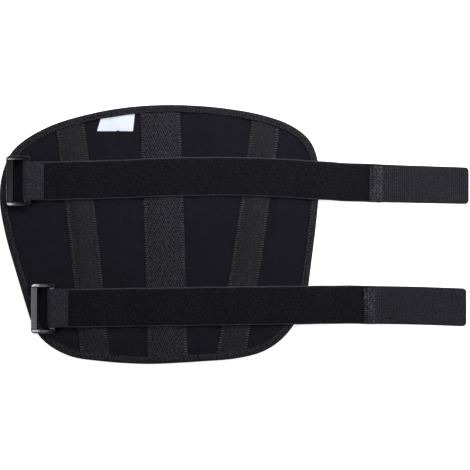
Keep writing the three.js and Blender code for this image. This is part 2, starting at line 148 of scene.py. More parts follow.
def filled(values):
    """The values with each gap filled from its neighbours."""
    values = np.asarray(values, float)
    there = np.isfinite(values)
    places = np.arange(len(values))
    return np.interp(places, places[there], values[there])


def eased(values, passes, closed=False):
    """The values, or points, smoothed along their first axis with the ends kept."""
    values = np.array(values, float)
    for _ in range(passes):
        before = np.roll(values, 1, axis=0)
        after = np.roll(values, -1, axis=0)
        mean = (before + 2 * values + after) / 4
        if not closed:
            mean[0], mean[-1] = values[0], values[-1]
        values = mean
    return values


def evenly(points, step, closed=False):
    """Points spaced evenly along a polyline."""
    points = np.asarray(points, float)
    if closed:
        points = np.vstack([points, points[:1]])
    run = np.concatenate([[0], np.cumsum(np.linalg.norm(np.diff(points, axis=0), axis=1))])
    count = max(2, round(run[-1] / step) + (not closed))
    wanted = np.linspace(0, run[-1], count, endpoint=not closed)
    return np.column_stack([np.interp(wanted, run, column) for column in points.T])


# The bound outline, anticlockwise, and distances inside it


def bound_outline():
    """Points 1 mm apart round the outside of the binding."""
    flat = [v.co.to_2d() for v in frame["nodes"]["edge_binding"].data.vertices]
    corners = np.array([flat[i] for i in convex_hull_2d(flat)])
    area = np.sum(corners[:, 0] * np.roll(corners[:, 1], -1) - corners[:, 1] * np.roll(corners[:, 0], -1))
    if area < 0:
        corners = corners[::-1]
    return eased(evenly(corners, 1 * MM, closed=True), 12, closed=True)


outline = bound_outline()
heading = np.roll(outline, -1, axis=0) - np.roll(outline, 1, axis=0)
heading /= np.linalg.norm(heading, axis=1, keepdims=True)
outward = np.column_stack([heading[:, 1], -heading[:, 0]])


def inset_of(points):
    """Distance of each point inside the outline, and the nearest place on the outline."""
    points = np.atleast_2d(points)
    distances = np.empty(len(points))
    nearest = np.empty(len(points), int)
    for i, point in enumerate(points):
        away = point - outline
        nearest[i] = np.argmin((away**2).sum(axis=1))
        distances[i] = -(away[nearest[i]] @ outward[nearest[i]])
    return distances, nearest


def pocket_line(pocket, y):
    """X of a pocket's middle line at each Y."""
    up = np.asarray(y) / PANEL_LENGTH + 0.5
    across = pocket["wrist"] + (pocket["elbow"] - pocket["wrist"]) * up + pocket["bow"] * 4 * up * (1 - up)
    return PANEL_MIDDLE + across * PANEL_WIDTH


# Meshes


def new_mesh(name, points, faces):
    mesh = bpy.data.meshes.new(name)
    mesh.from_pydata(np.asarray(points, float).reshape(-1, 3).tolist(), [], faces)
    return mesh


def new_object(name, data):
    made = bpy.data.objects.new(name, data)
    bpy.context.scene.collection.objects.link(made)
    return made


def faces_out(mesh):
    tidy = bmesh.new()
    tidy.from_mesh(mesh)
    bmesh.ops.recalc_face_normals(tidy, faces=tidy.faces)
    tidy.to_mesh(mesh)
    tidy.free()


def finished(name, mesh, material, node=None, body="splint", smooth=50):
    """The mesh as a piece: faces out, shaded, with its material, riding on its body."""
    faces_out(mesh)
    mesh.shade_smooth()
    mesh.set_sharp_from_angle(angle=math.radians(smooth))
    for finish in material if isinstance(material, (list, tuple)) else [material]:
        mesh.materials.append(finish)
    piece = new_object(name, mesh)
    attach(piece, body)
    if node:
        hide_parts(node)
    return piece


def lofted(name, loops, closed=False, slot_of=None):
    """A mesh through closed loops of points. Its map holds the distance along and round it, in metres.
    Where it has several materials, slot_of gives a face's from its station and its place in the loop."""
    loops = np.asarray(loops, float)
    stations, around, _ = loops.shape
    ahead = [(i, (i + 1) % stations) for i in range(stations if closed else stations - 1)]
    middles = loops.mean(axis=1)
    steps = np.linalg.norm(np.roll(middles, -1, axis=0) - middles, axis=1)
    along = np.concatenate([[0], np.cumsum(steps)])
    widths = np.linalg.norm(np.roll(loops, -1, axis=1) - loops, axis=2).mean(axis=0)
    across = np.concatenate([[0], np.cumsum(widths)])
    faces, places, slots = [], [], []
    for i, after in ahead:
        for j in range(around):
            beside = (j + 1) % around
            faces.append((i * around + j, after * around + j, after * around + beside, i * around + beside))
            places += [(along[i], across[j]), (along[i + 1], across[j])]
            places += [(along[i + 1], across[j + 1]), (along[i], across[j + 1])]
            slots.append(slot_of(i, j) if slot_of else 0)
    if not closed:
        last = [(stations - 1) * around + j for j in range(around)]
        faces += [list(reversed(range(around))), last]
        places += [(along[0], across[j]) for j in reversed(range(around))]
        places += [(along[stations - 1], across[j]) for j in range(around)]
        slots += [0, 0]
    mesh = new_mesh(name, loops, faces)
    layer = mesh.uv_layers.new(name="cloth")
    layer.data.foreach_set("uv", np.asarray(places, np.float32).ravel())
    mesh.polygons.foreach_set("material_index", slots)
    return mesh


def tube_faces(first, stations, around):
    """Faces of a closed tube whose points follow one another ring by ring from number first."""
    faces = []
    last = first + (stations - 1) * around
    for ring_start in range(first, last, around):
        for j in range(around):
            a, b = ring_start + j, ring_start + (j + 1) % around
            faces.append((a, a + around, b + around, b))
    faces.append(tuple(first + j for j in reversed(range(around))))
    faces.append(tuple(last + j for j in range(around)))
    return faces


def stitches(name, threads, material, radius, bow):
    """One piece of many stitches, each a short thread that rises out of the cloth and goes back in.
    A thread is given by its start, its end, and 1 where it lies on top of the cloth or -1 under it."""
    starts = np.array([start for start, _, _ in threads], float)
    ends = np.array([end for _, end, _ in threads], float)
    ups = np.array([(0, 0, side) for _, _, side in threads], float)
    # How far along a stitch, how high and how thick
    shares = np.array([0, 0.16, 0.5, 0.84, 1])
    rises = np.array([-0.9, 0.55, 1, 0.55, -0.9])
    girths = np.array([0.55, 0.95, 1, 0.95, 0.55])
    around = 5
    ways = ends - starts
    ways /= np.linalg.norm(ways, axis=1, keepdims=True)
    asides = np.cross(ways, ups)
    asides /= np.linalg.norm(asides, axis=1, keepdims=True)
    turns = np.arange(around) * 2 * math.pi / around
    middles = starts[:, None] + (ends - starts)[:, None] * shares[None, :, None]
    middles = middles + ups[:, None] * (rises * bow)[None, :, None]
    wide = np.cos(turns)[None, None, :, None] * girths[None, :, None, None] * radius
    tall = np.sin(turns)[None, None, :, None] * girths[None, :, None, None] * radius
    rings = middles[:, :, None] + asides[:, None, None] * wide + ups[:, None, None] * tall
    faces = []
    for number in range(len(threads)):
        faces += tube_faces(number * len(shares) * around, len(shares), around)
    return finished(name, new_mesh(name, rings, faces), material)


# Colours


PANEL_BLACK = (0.0094, 0.009, 0.0124, 1)
PLUSH_BLACK = (0.0054, 0.0052, 0.0066, 1)
HERRINGBONE_GREY = (0.0222, 0.0216, 0.0256, 1)
TWILL_GREY = (0.0192, 0.0189, 0.0212, 1)
BINDING_GREY = (0.0188, 0.0182, 0.0208, 1)
BACK_GREY = (0.023, 0.022, 0.027, 1)
SELVAGE_GREY = (0.038, 0.0368, 0.0438, 1)
HOOK_GREY = (0.02, 0.019, 0.0235, 1)
NYLON_DARK = (0.016, 0.015, 0.019, 1)
NYLON_PALE = (0.048, 0.0455, 0.055, 1)
RING_BLACK = (0.0045, 0.0045, 0.006, 1)
RING_SCUFFED = (0.012, 0.012, 0.0155, 1)
LABEL_WHITE = (0.765, 0.8, 0.885, 1)
LABEL_SOILED = (0.655, 0.69, 0.775, 1)
LINT_GREY = (0.12, 0.12, 0.13, 1)
# Painted shade, mixed into the webbing along its stitched edges
STITCH_EDGE_SHADE = (0.004, 0.004, 0.005, 1)


# Shader helpers


class Tree:
    """Adds nodes to one node tree and links them."""

    def __init__(self, tree):
        self.tree = tree

    def add(self, kind, *values, **settings):
        node = self.tree.nodes.new(kind)
        for name, value in settings.items():
            setattr(node, name, value)
        for socket, value in zip(node.inputs, values):
            self.feed(socket, value)
        return node

    def feed(self, socket, value):
        if isinstance(value, bpy.types.NodeSocket):
            self.tree.links.new(value, socket)
        elif value is not None:
            socket.default_value = value

    def math(self, operation, *values, clamp=False):
        return self.add("ShaderNodeMath", *values, operation=operation, use_clamp=clamp).outputs[0]

    def mix(self, share, a, b):
        """Two colours mixed. A Mix node keeps them in its inputs 6 and 7 and puts them out at output 2."""
        node = self.add("ShaderNodeMix", data_type="RGBA")
        self.feed(node.inputs["Factor"], share)
        self.feed(node.inputs[6], a)
        self.feed(node.inputs[7], b)
        return node.outputs[2]

    def noise(self, vector, scale, detail=2.0, roughness=0.5):
        node = self.add("ShaderNodeTexNoise")
        values = {"Vector": vector, "Scale": scale, "Detail": detail, "Roughness": roughness}
        for name, value in values.items():
            self.feed(node.inputs[name], value)
        return node.outputs["Fac"]

    def spread(self, value, low, high, to_low=0.0, to_high=1.0):
        """A value eased from the range low to high into another."""
        ranges = (value, low, high, to_low, to_high)
        return self.add("ShaderNodeMapRange", *ranges, interpolation_type="SMOOTHSTEP").outputs[0]


def effect(name, inputs, outputs):
    """A node group with named sockets. Returns it, its Tree, what it is given and what it puts out."""
    group = bpy.data.node_groups.new(name, "ShaderNodeTree")
    for socket, kind, value in inputs:
        made = group.interface.new_socket(name=socket, in_out="INPUT", socket_type=kind)
        if value is not None:
            made.default_value = value
    for socket, kind in outputs:
        group.interface.new_socket(name=socket, in_out="OUTPUT", socket_type=kind)
    tree = Tree(group)
    return group, tree, tree.add("NodeGroupInput").outputs, tree.add("NodeGroupOutput").inputs


FLOAT, COLOUR, VECTOR = "NodeSocketFloat", "NodeSocketColor", "NodeSocketVector"


def woven_ribs():
    """Slanting ribs of yarn. Column is how far a rib slants before it turns back, as in herringbone."""
    group, tree, given, out = effect(
        "Woven ribs",
        [
            ("Vector", VECTOR, None),
            ("Rib spacing", FLOAT, 1.6 * MM),
            ("Column", FLOAT, 4.6 * MM),
            ("Slant", FLOAT, 1.0),
            ("Yarn", FLOAT, 0.9 * MM),
        ],
        [("Height", FLOAT)],
    )
    place = tree.add("ShaderNodeSeparateXYZ", given["Vector"]).outputs
    along, across = place["X"], place["Y"]
    slanted = tree.math("MULTIPLY", tree.math("PINGPONG", across, given["Column"]), given["Slant"])
    turn = tree.math("DIVIDE", tree.math("ADD", along, slanted), given["Rib spacing"])
    rib = tree.math("SINE", tree.math("MULTIPLY", turn, 2 * math.pi))
    rib = tree.math("MULTIPLY_ADD", rib, 0.5, 0.5)
    yarn = tree.math("SINE", tree.math("MULTIPLY", tree.math("DIVIDE", across, given["Yarn"]), 2 * math.pi))
    yarn = tree.math("MULTIPLY_ADD", yarn, 0.25, 0.75)
    tree.feed(out["Height"], tree.math("MULTIPLY", rib, yarn))
    return group


def used_cloth_and_relief_light():
    """Colour that drifts a little over the cloth, with paler rubbed patches, sparse lint, and painted light
    and shade: lighter where the weave or pile is raised and darker where it is low.
    """
    group, tree, given, out = effect(
        "Used cloth and relief light",
        [
            ("Vector", VECTOR, None),
            ("Colour", COLOUR, None),
            ("Raised", FLOAT, 0.5),
            ("Raised lift", FLOAT, 0.3),
            ("Mottle", FLOAT, 0.3),
            ("Rubbed", FLOAT, 0.15),
            ("Lint", FLOAT, 0.3),
        ],
        [("Colour", COLOUR), ("Roughness", FLOAT)],
    )
    drift = tree.noise(given["Vector"], 22, 3)
    rubbed = tree.spread(tree.noise(given["Vector"], 70, 4, 0.6), 0.5, 0.75)
    grain = tree.noise(given["Vector"], 430, 2, 0.7)
    # Painted light and shade: where the weave or pile stands higher the colour is made lighter, and darker
    # where it is low
    raised = tree.math("MULTIPLY", tree.math("SUBTRACT", given["Raised"], 0.4), 2.0)
    light = tree.math("MULTIPLY_ADD", tree.math("SUBTRACT", drift, 0.5), 0.4, 1.0)
    light = tree.math("MULTIPLY_ADD", raised, given["Raised lift"], light)
    light = tree.math("MULTIPLY_ADD", rubbed, given["Rubbed"], light)
    mottle = tree.math("MULTIPLY", tree.math("SUBTRACT", grain, 0.5), 4.0)
    light = tree.math("MULTIPLY_ADD", mottle, given["Mottle"], light)
    light = tree.math("MAXIMUM", light, 0.12)
    scaled = tree.add("ShaderNodeVectorMath", given["Colour"], operation="SCALE")
    tree.feed(scaled.inputs["Scale"], light)
    lint = tree.spread(tree.noise(given["Vector"], 420, 1), 0.79, 0.84)
    lint = tree.math("MULTIPLY", lint, given["Lint"])
    tree.feed(out["Colour"], tree.mix(lint, scaled.outputs[0], LINT_GREY))
    tree.feed(out["Roughness"], tree.math("MULTIPLY_ADD", drift, 0.2, 0.8, clamp=True))
    return group


def soft_pile():
    """Height of brushed loops: fine tufts on broader clumps, drawn out along the strap."""
    group, tree, given, out = effect(
        "Soft pile",
        [("Vector", VECTOR, None), ("Tuft", FLOAT, 0.5 * MM), ("Clump", FLOAT, 2.4 * MM)],
        [("Height", FLOAT)],
    )
    drawn_out = (0.6, 1.0, 1.0)
    combed = tree.add("ShaderNodeVectorMath", given["Vector"], drawn_out, operation="MULTIPLY").outputs[0]
    tufts = tree.noise(combed, tree.math("DIVIDE", 1.0, given["Tuft"]), 2, 0.6)
    clumps = tree.noise(combed, tree.math("DIVIDE", 1.0, given["Clump"]), 2, 0.5)
    tree.feed(out["Height"], tree.math("MULTIPLY_ADD", clumps, 0.8, tufts))
    return group


def sewn_edge_shade():
    """One along both edges of a tape, where its stitches pull it down and painted shade goes, and nought
    between them.
    """
    group, tree, given, out = effect(
        "Sewn edge shade",
        [("Vector", VECTOR, None), ("Width", FLOAT, 28 * MM), ("Band", FLOAT, 2.8 * MM)],
        [("Mask", FLOAT)],
    )
    across = tree.add("ShaderNodeSeparateXYZ", given["Vector"]).outputs["Y"]
    from_edge = tree.math("MINIMUM", across, tree.math("SUBTRACT", given["Width"], across))
    share = tree.math("DIVIDE", tree.math("SUBTRACT", from_edge, given["Band"]), 0.6 * MM)
    tree.feed(out["Mask"], tree.math("SUBTRACT", 1.0, share, clamp=True))
    return group


WOVEN_RIBS = woven_ribs()
SEWN_EDGE_SHADE = sewn_edge_shade()
USED_CLOTH_AND_RELIEF_LIGHT = used_cloth_and_relief_light()
SOFT_PILE = soft_pile()


def placed(tree, group, **values):
    """A node group in a material. Underscores in the names stand for spaces."""
    node = tree.add("ShaderNodeGroup", node_tree=group)
    for name, value in values.items():
        tree.feed(node.inputs[name.replace("_", " ")], value)
    return node.outputs


def new_material(name, **constants):
    """A new material, its Tree, and the sockets of its shader, where its even values are set."""
    material = bpy.data.materials.new(name)
    material.use_nodes = True
    shader = material.node_tree.nodes["Principled BSDF"]
    for socket, value in constants.items():
        shader.inputs[socket.replace("_", " ")].default_value = value
    return material, Tree(material.node_tree), shader.inputs


def surfaced(tree, inputs, colour, roughness, height=None, strength=0.5, depth=0.1 * MM):
    """Feeds a shader its colour and roughness and, where a height is given, a bump of that depth."""
    tree.feed(inputs["Base Color"], colour)
    tree.feed(inputs["Roughness"], roughness)
    if height is not None:
        bump = tree.add("ShaderNodeBump")
        tree.feed(bump.inputs["Strength"], strength)
        tree.feed(bump.inputs["Distance"], depth)
        tree.feed(bump.inputs["Height"], height)
        tree.feed(inputs["Normal"], bump.outputs["Normal"])


def cloth_map(tree):
    return tree.add("ShaderNodeUVMap", uv_map="cloth").outputs[0]


def object_place(tree):
    return tree.add("ShaderNodeTexCoord").outputs["Object"]


def webbing_material(name, colour, *, spacing, column, slant, yarn, depth, lift, mottle, edged=0):
    """Woven tape. A tape that is edged has that width, and bands of painted shade under its edge stitches."""
    material, tree, inputs = new_material(name, Specular_IOR_Level=0.06)
    place = cloth_map(tree)
    weave = {"Rib_spacing": spacing, "Column": column, "Slant": slant, "Yarn": yarn}
    ribs = placed(tree, WOVEN_RIBS, Vector=place, **weave)
    # lift sets how much lighter the raised yarn is painted, and the hollows darker, as light and shade on the
    # weave's relief
    wear_and_relief_light = {"Raised_lift": lift, "Mottle": mottle, "Lint": 0.25}
    cloth = placed(tree, USED_CLOTH_AND_RELIEF_LIGHT, Vector=place, Colour=colour, Raised=ribs["Height"], **wear_and_relief_light)
    shade = cloth["Colour"]
    # Painted shade: along both edges, under the edge stitches, the colour is mixed a little towards near
    # black
    if edged:
        sewn = placed(tree, SEWN_EDGE_SHADE, Vector=place, Width=edged)
        shade = tree.mix(tree.math("MULTIPLY", sewn["Mask"], 0.18), shade, STITCH_EDGE_SHADE)
    surfaced(tree, inputs, shade, cloth["Roughness"], ribs["Height"], strength=0.8, depth=depth)
    return material


def panel_cloth():
    material, tree, inputs = new_material("Panel cloth", Specular_IOR_Level=0.06, Sheen_Weight=0.005)
    place = object_place(tree)
    stitch = {"Rib_spacing": 0.9 * MM, "Column": 0.45 * MM, "Slant": 1.2, "Yarn": 0.7 * MM}
    knit = placed(tree, WOVEN_RIBS, Vector=place, **stitch)
    # Raised knit painted a little lighter and its hollows darker, as light and shade on its relief
    wear_and_relief_light = {"Raised_lift": 0.15, "Mottle": 0.22}
    cloth = placed(tree, USED_CLOTH_AND_RELIEF_LIGHT, Vector=place, Colour=PANEL_BLACK, Raised=knit["Height"], **wear_and_relief_light)
    creases = tree.noise(place, 55, 3, 0.6)
    height = tree.math("MULTIPLY_ADD", creases, 3.0, knit["Height"])
    surfaced(tree, inputs, cloth["Colour"], cloth["Roughness"], height, strength=0.5, depth=0.18 * MM)
    return material


def plush():
    finish = {"Specular_IOR_Level": 0.03, "Sheen_Weight": 0.01, "Sheen_Roughness": 0.6}
    material, tree, inputs = new_material("Plush", **finish)
    place = cloth_map(tree)
    pile = placed(tree, SOFT_PILE, Vector=place)["Height"]
    # Raised pile painted lighter and its hollows darker, as light and shade on its clumps
    wear_and_relief_light = {"Raised_lift": 0.55, "Mottle": 1.3}
    cloth = placed(tree, USED_CLOTH_AND_RELIEF_LIGHT, Vector=place, Colour=PLUSH_BLACK, Raised=pile, **wear_and_relief_light)
    surfaced(tree, inputs, cloth["Colour"], cloth["Roughness"], pile, strength=0.9, depth=0.5 * MM)
    return material


def hook_nylon():
    material, tree, inputs = new_material("Hook nylon", Specular_IOR_Level=0.3)
    patch = tree.spread(tree.noise(object_place(tree), 260, 3, 0.7), 0.25, 0.75)
    roughness = tree.math("MULTIPLY_ADD", patch, 0.3, 0.35)
    surfaced(tree, inputs, tree.mix(patch, NYLON_DARK, NYLON_PALE), roughness)
    return material


def sewing_thread(name, colour, dark):
    """Twisted thread that goes dark where it is worn, with painted shade where its bump is low and, in longer
    stretches, painted shade where it lies deep.
    """
    material, tree, inputs = new_material(name, Specular_IOR_Level=0.15)
    place = object_place(tree)
    ply = tree.noise(place, 2600, 1)
    worn = tree.spread(tree.noise(place, 330, 2), 0.3, 0.7)
    deep_shade = tree.spread(tree.noise(place, 38, 2), 0.36, 0.58, 0.3, 1.0)
    # Painted shade: darker where the twist's bump is low and, in long stretches, where the thread lies deep
    # in the cloth
    light = tree.math("MULTIPLY", tree.math("MULTIPLY", tree.spread(ply, 0.2, 0.6), worn), deep_shade)
    roughness = tree.math("MULTIPLY_ADD", worn, 0.3, 0.5)
    surfaced(tree, inputs, tree.mix(light, dark, colour), roughness, ply, strength=0.5, depth=0.1 * MM)
    return material


def label_satin():
    material, tree, inputs = new_material("Label satin", Specular_IOR_Level=0.35)
    place = cloth_map(tree)
    satin = {"Rib_spacing": 0.5 * MM, "Column": 400 * MM, "Slant": 0.2, "Yarn": 0.5 * MM}
    weave = placed(tree, WOVEN_RIBS, Vector=place, **satin)
    creases = tree.noise(place, 130, 4, 0.6)
    soiled = tree.spread(tree.noise(place, 75, 3), 0.45, 0.75)
    roughness = tree.math("MULTIPLY_ADD", creases, 0.3, 0.35)
    height = tree.math("MULTIPLY_ADD", creases, 3.0, weave["Height"])
    colour = tree.mix(soiled, LABEL_WHITE, LABEL_SOILED)
    surfaced(tree, inputs, colour, roughness, height, strength=0.5, depth=0.12 * MM)
    return material


def ring_plastic():
    material, tree, inputs = new_material("Ring plastic", Specular_IOR_Level=0.5)
    place = object_place(tree)
    mould = tree.noise(place, 160, 4, 0.6)
    fine = tree.noise(place, 2200, 2)
    scuffs = tree.spread(tree.noise(place, 420, 5, 0.75), 0.56, 0.72)
    roughness = tree.math("MULTIPLY_ADD", scuffs, 0.14, tree.math("MULTIPLY_ADD", mould, 0.06, 0.1))
    height = tree.math("MULTIPLY_ADD", mould, 3.0, fine)
    colour = tree.mix(scuffs, RING_BLACK, RING_SCUFFED)
    surfaced(tree, inputs, colour, roughness, height, strength=0.3, depth=0.02 * MM)
    return material


def floor_board():
    material, tree, inputs = new_material("Pale floor", Specular_IOR_Level=0.1, Emission_Strength=0.75)
    mottle = tree.noise(object_place(tree), 8, 4)
    roughness = tree.math("MULTIPLY_ADD", mottle, 0.1, 0.8)
    surfaced(tree, inputs, tree.mix(mottle, (0.93, 0.93, 0.93, 1), (0.96, 0.96, 0.96, 1)), roughness)
    return material


PANEL = panel_cloth()
PLUSH = plush()
HERRINGBONE = webbing_material(
    "Herringbone",
    HERRINGBONE_GREY,
    spacing=4.75 * MM,
    column=4.9 * MM,
    slant=2.35,
    yarn=1.3 * MM,
    depth=0.22 * MM,
    lift=0.85,
    mottle=0.9,
    edged=2 * POCKETS["centre_stay_pocket"]["half"],
)
TWILL = webbing_material(
    "Twill webbing",
    TWILL_GREY,
    spacing=2.0 * MM,
    column=1.4 * MM,
    slant=1.0,
    yarn=0.9 * MM,
    depth=0.2 * MM,
    lift=0.4,
    mottle=0.6,
    edged=2 * POCKETS["left_stay_pocket"]["half"],
)
BINDING = webbing_material(
    "Binding tape",
    BINDING_GREY,
    spacing=2.9 * MM,
    column=2.4 * MM,
    slant=1.0,
    yarn=1.2 * MM,
    depth=0.22 * MM,
    lift=0.75,
    mottle=1.0,
)
PLAIN_WEAVE = {"spacing": 1.9 * MM, "column": 0.95 * MM, "slant": 0.9, "yarn": 1.9 * MM}
STRAP_BACK = webbing_material("Strap back", BACK_GREY, **PLAIN_WEAVE, depth=0.2 * MM, lift=0.35, mottle=0.8)
SELVAGE = webbing_material("Selvage", SELVAGE_GREY, **PLAIN_WEAVE, depth=0.12 * MM, lift=0.2, mottle=0.2)
HOOK_BASE = webbing_material(
    "Hook tape ground",
    HOOK_GREY,
    spacing=2 * MM,
    column=0.6 * MM,
    slant=0.5,
    yarn=2 * MM,
    depth=0.2 * MM,
    lift=0.4,
    mottle=0.6,
)
HOOK_NYLON = hook_nylon()
THREAD = sewing_thread("Grey thread", (0.15, 0.149, 0.165, 1), dark=(0.022, 0.022, 0.026, 1))
LIGHT_THREAD = sewing_thread("Light thread", (0.24, 0.237, 0.265, 1), dark=(0.02, 0.019, 0.024, 1))
STRAP_THREAD = sewing_thread("Strap thread", (0.115, 0.113, 0.126, 1), dark=(0.014, 0.014, 0.017, 1))
DARK_THREAD = sewing_thread("Dark thread", (0.075, 0.074, 0.082, 1), dark=(0.014, 0.014, 0.016, 1))
SATIN = label_satin()
PLASTIC = ring_plastic()


# Foam panel


def strap_middle(which, x):
    """Y of a strap's middle line."""
    node = f"{which}_strap"
    low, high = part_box(node)
    x = min(max(x, low.x + 1 * MM), high.x - 0.5 * MM)
    under = underside_of(node, x, (low.y + high.y) / 2)
    south, north = sides_of(node, x, under + STRAP_THICKNESS / 4)
    return (south + north) / 2


def room_for_swell(points, inset):
    """How far each point of the panel's face lies from the pockets, binding, straps and rings on it."""
    beside_strap = 6 * MM
    beside_ring = 2 * MM
    room = inset - BINDING_WIDTH - 1 * MM
    for pocket in POCKETS.values():
        room = np.minimum(room, np.abs(points[:, 0] - pocket_line(pocket, points[:, 1])) - pocket["half"])
    for which in STRAPS:
        ring_low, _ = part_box(f"{which}_ring")
        stations = np.linspace(ring_low.x, binding_high.x, 40)
        middles = [strap_middle(which, x) for x in stations]
        from_middle = np.abs(points[:, 1] - np.interp(points[:, 0], stations, middles))
        from_strap = from_middle - STRAP_HALF - beside_strap
        before_ring = ring_low.x - beside_ring - points[:, 0]
        room = np.minimum(room, np.maximum(from_strap, before_ring))
    return np.clip(room, 0, None)


def swollen(places, faces, room):
    """How far a cloth simulation lifts the panel's face where nothing holds it down."""
    highest = 1.5 * MM
    ease_in = 12 * MM
    deepest = -0.25 * MM
    most = highest * (1 - np.exp(-room / ease_in))
    trial = new_object("swelling", new_mesh("swelling", places, faces))
    held = trial.vertex_groups.new(name="held")
    held.add([int(i) for i in np.nonzero(room <= 0)[0]], 1.0, "REPLACE")
    cloth = trial.modifiers.new("Cloth", "CLOTH")
    settings = cloth.settings
    settings.quality = 6
    settings.mass = 0.2
    settings.tension_stiffness = settings.compression_stiffness = 8
    settings.bending_stiffness = 0.8
    settings.use_pressure = True
    settings.uniform_pressure_force = 1.5
    settings.shrink_min = -0.004
    settings.vertex_group_mass = "held"
    settings.effector_weights.gravity = 0
    cloth.collision_settings.use_collision = False
    cloth.collision_settings.use_self_collision = False
    scene = bpy.context.scene
    for step in range(1, 21):
        scene.frame_set(step)
    settled = trial.evaluated_get(bpy.context.evaluated_depsgraph_get())
    after = np.array([v.co.z for v in settled.data.vertices])
    bpy.data.objects.remove(trial)
    scene.frame_set(1)
    lifted = after - places[:, 2]
    print("panel swell, mm:", round(float(lifted.min() / MM), 2), round(float(lifted.max() / MM), 2))
    return np.clip(lifted, deepest, most)


def panel_grid():
    """The panel's points seen from above, its faces, and its rim's points, moved onto one smooth edge."""
    step = 3 * MM
    xs = np.arange(binding_low.x, binding_high.x + step, step)
    ys = np.arange(binding_low.y, binding_high.y + step, step)
    grid = np.array([(x, y) for x in xs for y in ys])
    inside = inset_of(grid)[0] > BINDING_OVERHANG
    quads = []
    for i in range(len(xs) - 1):
        for j in range(len(ys) - 1):
            near = i * len(ys) + j
            far = near + len(ys)
            corners = [near, far, far + 1, near + 1]
            if inside[corners].all():
                quads.append(corners)
    used = np.unique(quads)
    quads = np.searchsorted(used, quads).tolist()
    spots = grid[used]
    rim = sorted({a for a, _ in rim_edges(quads)})
    _, nearest = inset_of(spots[rim])
    spots[rim] = outline[nearest] - outward[nearest] * BINDING_OVERHANG
    return spots, quads, rim


def foam_panel():
    """The panel, with its face and underside read from the node and eased, and its face swollen."""
    spots, quads, rim = panel_grid()
    inset, nearest = inset_of(spots)
    neighbours = neighbours_of(quads, len(spots))
    # The rim is read a little further in, where the node still has a top
    inner = spots.copy()
    inner[rim] -= outward[nearest[rim]] * 0.2 * MM
    top = filled([top_of("foam_panel", x, y) for x, y in inner])
    under = filled([underside_of("foam_panel", x, y) for x, y in inner])
    for _ in range(3):
        top = 0.5 * top + 0.5 * np.array([top[n].mean() for n in neighbours])
        under = np.minimum(under, 0.5 * under + 0.5 * np.array([under[n].mean() for n in neighbours]))
    room = room_for_swell(spots, inset)
    top = top + swollen(np.column_stack([spots, top]), quads, room)
    count = len(spots)
    points = np.vstack([np.column_stack([spots, top]), np.column_stack([spots, under])])
    faces = quads + [[c + count for c in reversed(quad)] for quad in quads]
    for a, b in rim_edges(quads):
        faces.append([a, a + count, b + count, b])
    mesh = new_mesh("foam_panel_cloth", points, faces)
    piece = finished("foam_panel_cloth", mesh, PANEL, node="foam_panel", smooth=80)
    return piece


def edges_of(quad):
    return zip(quad, quad[1:] + quad[:1])


def rim_edges(quads):
    """Edges that only one face has, each in that face's direction."""
    edges = {edge: True for quad in quads for edge in edges_of(quad)}
    return [(a, b) for a, b in edges if (b, a) not in edges]


def neighbours_of(quads, count):
    beside = [set() for _ in range(count)]
    for quad in quads:
        for a, b in edges_of(quad):
            beside[a].add(b)
            beside[b].add(a)
    return [sorted(n) for n in beside]


# Edge binding


# Each corner of the folded tape: its distance inside the outline, the face that its height is measured from,
# that height, both in mm, and its share of the puckers
BINDING_SECTION = [
    (7.05, "top", -1.05, 0),
    (7.4, "top", -0.95, 0.6),
    (7.35, "top", -0.65, 1),
    (6.9, "top", -0.36, 1),
    (6.3, "top", -0.24, 1),
    (5.8, "top", -0.34, 0.6),
    (5.2, "top", -0.14, 1),
    (4.0, "top", 0.05, 1),
    (2.6, "top", 0.0, 0.8),
    (1.4, "top", -0.25, 0.5),
    (0.5, "top", -0.9, 0.3),
    (0.0, "top", -2.0, 0.2),
    (0.0, "low", 1.9, 0.2),
    (0.5, "low", 0.9, 0),
    (1.5, "low", 0.2, 0),
    (3.0, "low", 0.0, 0),
    (5.0, "low", 0.0, 0),
    (7.1, "low", 0.05, 0),
    (7.4, "low", 0.5, 0),
    (7.1, "low", 0.95, 0),
    (2.0, "low", 1.0, 0),
    (1.1, "low", 1.7, 0),
    (1.1, "top", -1.8, 0),
    (2.0, "top", -1.05, 0),
]


def edge_binding():
    """The folded tape: a loop of its section at each place on the outline, with slight puckers."""
    run = np.arange(len(outline)) * 2 * math.pi / len(outline)
    # The tape's faces are read along its middle
    probe = outline - outward * 3.7 * MM
    top = eased(filled([top_of("edge_binding", x, y) for x, y in probe]), 8, closed=True)
    low = eased(filled([underside_of("edge_binding", x, y) for x, y in probe]), 8, closed=True)
    pucker = np.sin(127 * run + 2.2 * np.sin(9 * run)) * (0.6 + 0.4 * np.sin(17 * run + 1))
    drift = np.sin(23 * run + 1.3) + 0.6 * np.sin(41 * run)
    pucker_height = 0.13
    drift_width = 0.14
    loops = np.empty((len(outline), len(BINDING_SECTION), 3))
    for k, (inset, face, rise, pull) in enumerate(BINDING_SECTION):
        aside = (inset + drift_width * pull * drift * (inset > 4)) * MM
        lift = (rise + pucker_height * pull * pucker * (face == "top")) * MM
        loops[:, k, :2] = outline - outward * aside[:, None]
        loops[:, k, 2] = (top if face == "top" else low) + lift
    mesh = lofted("edge_binding_tape", loops, closed=True)
    return finished("edge_binding_tape", mesh, BINDING, node="edge_binding", smooth=70)


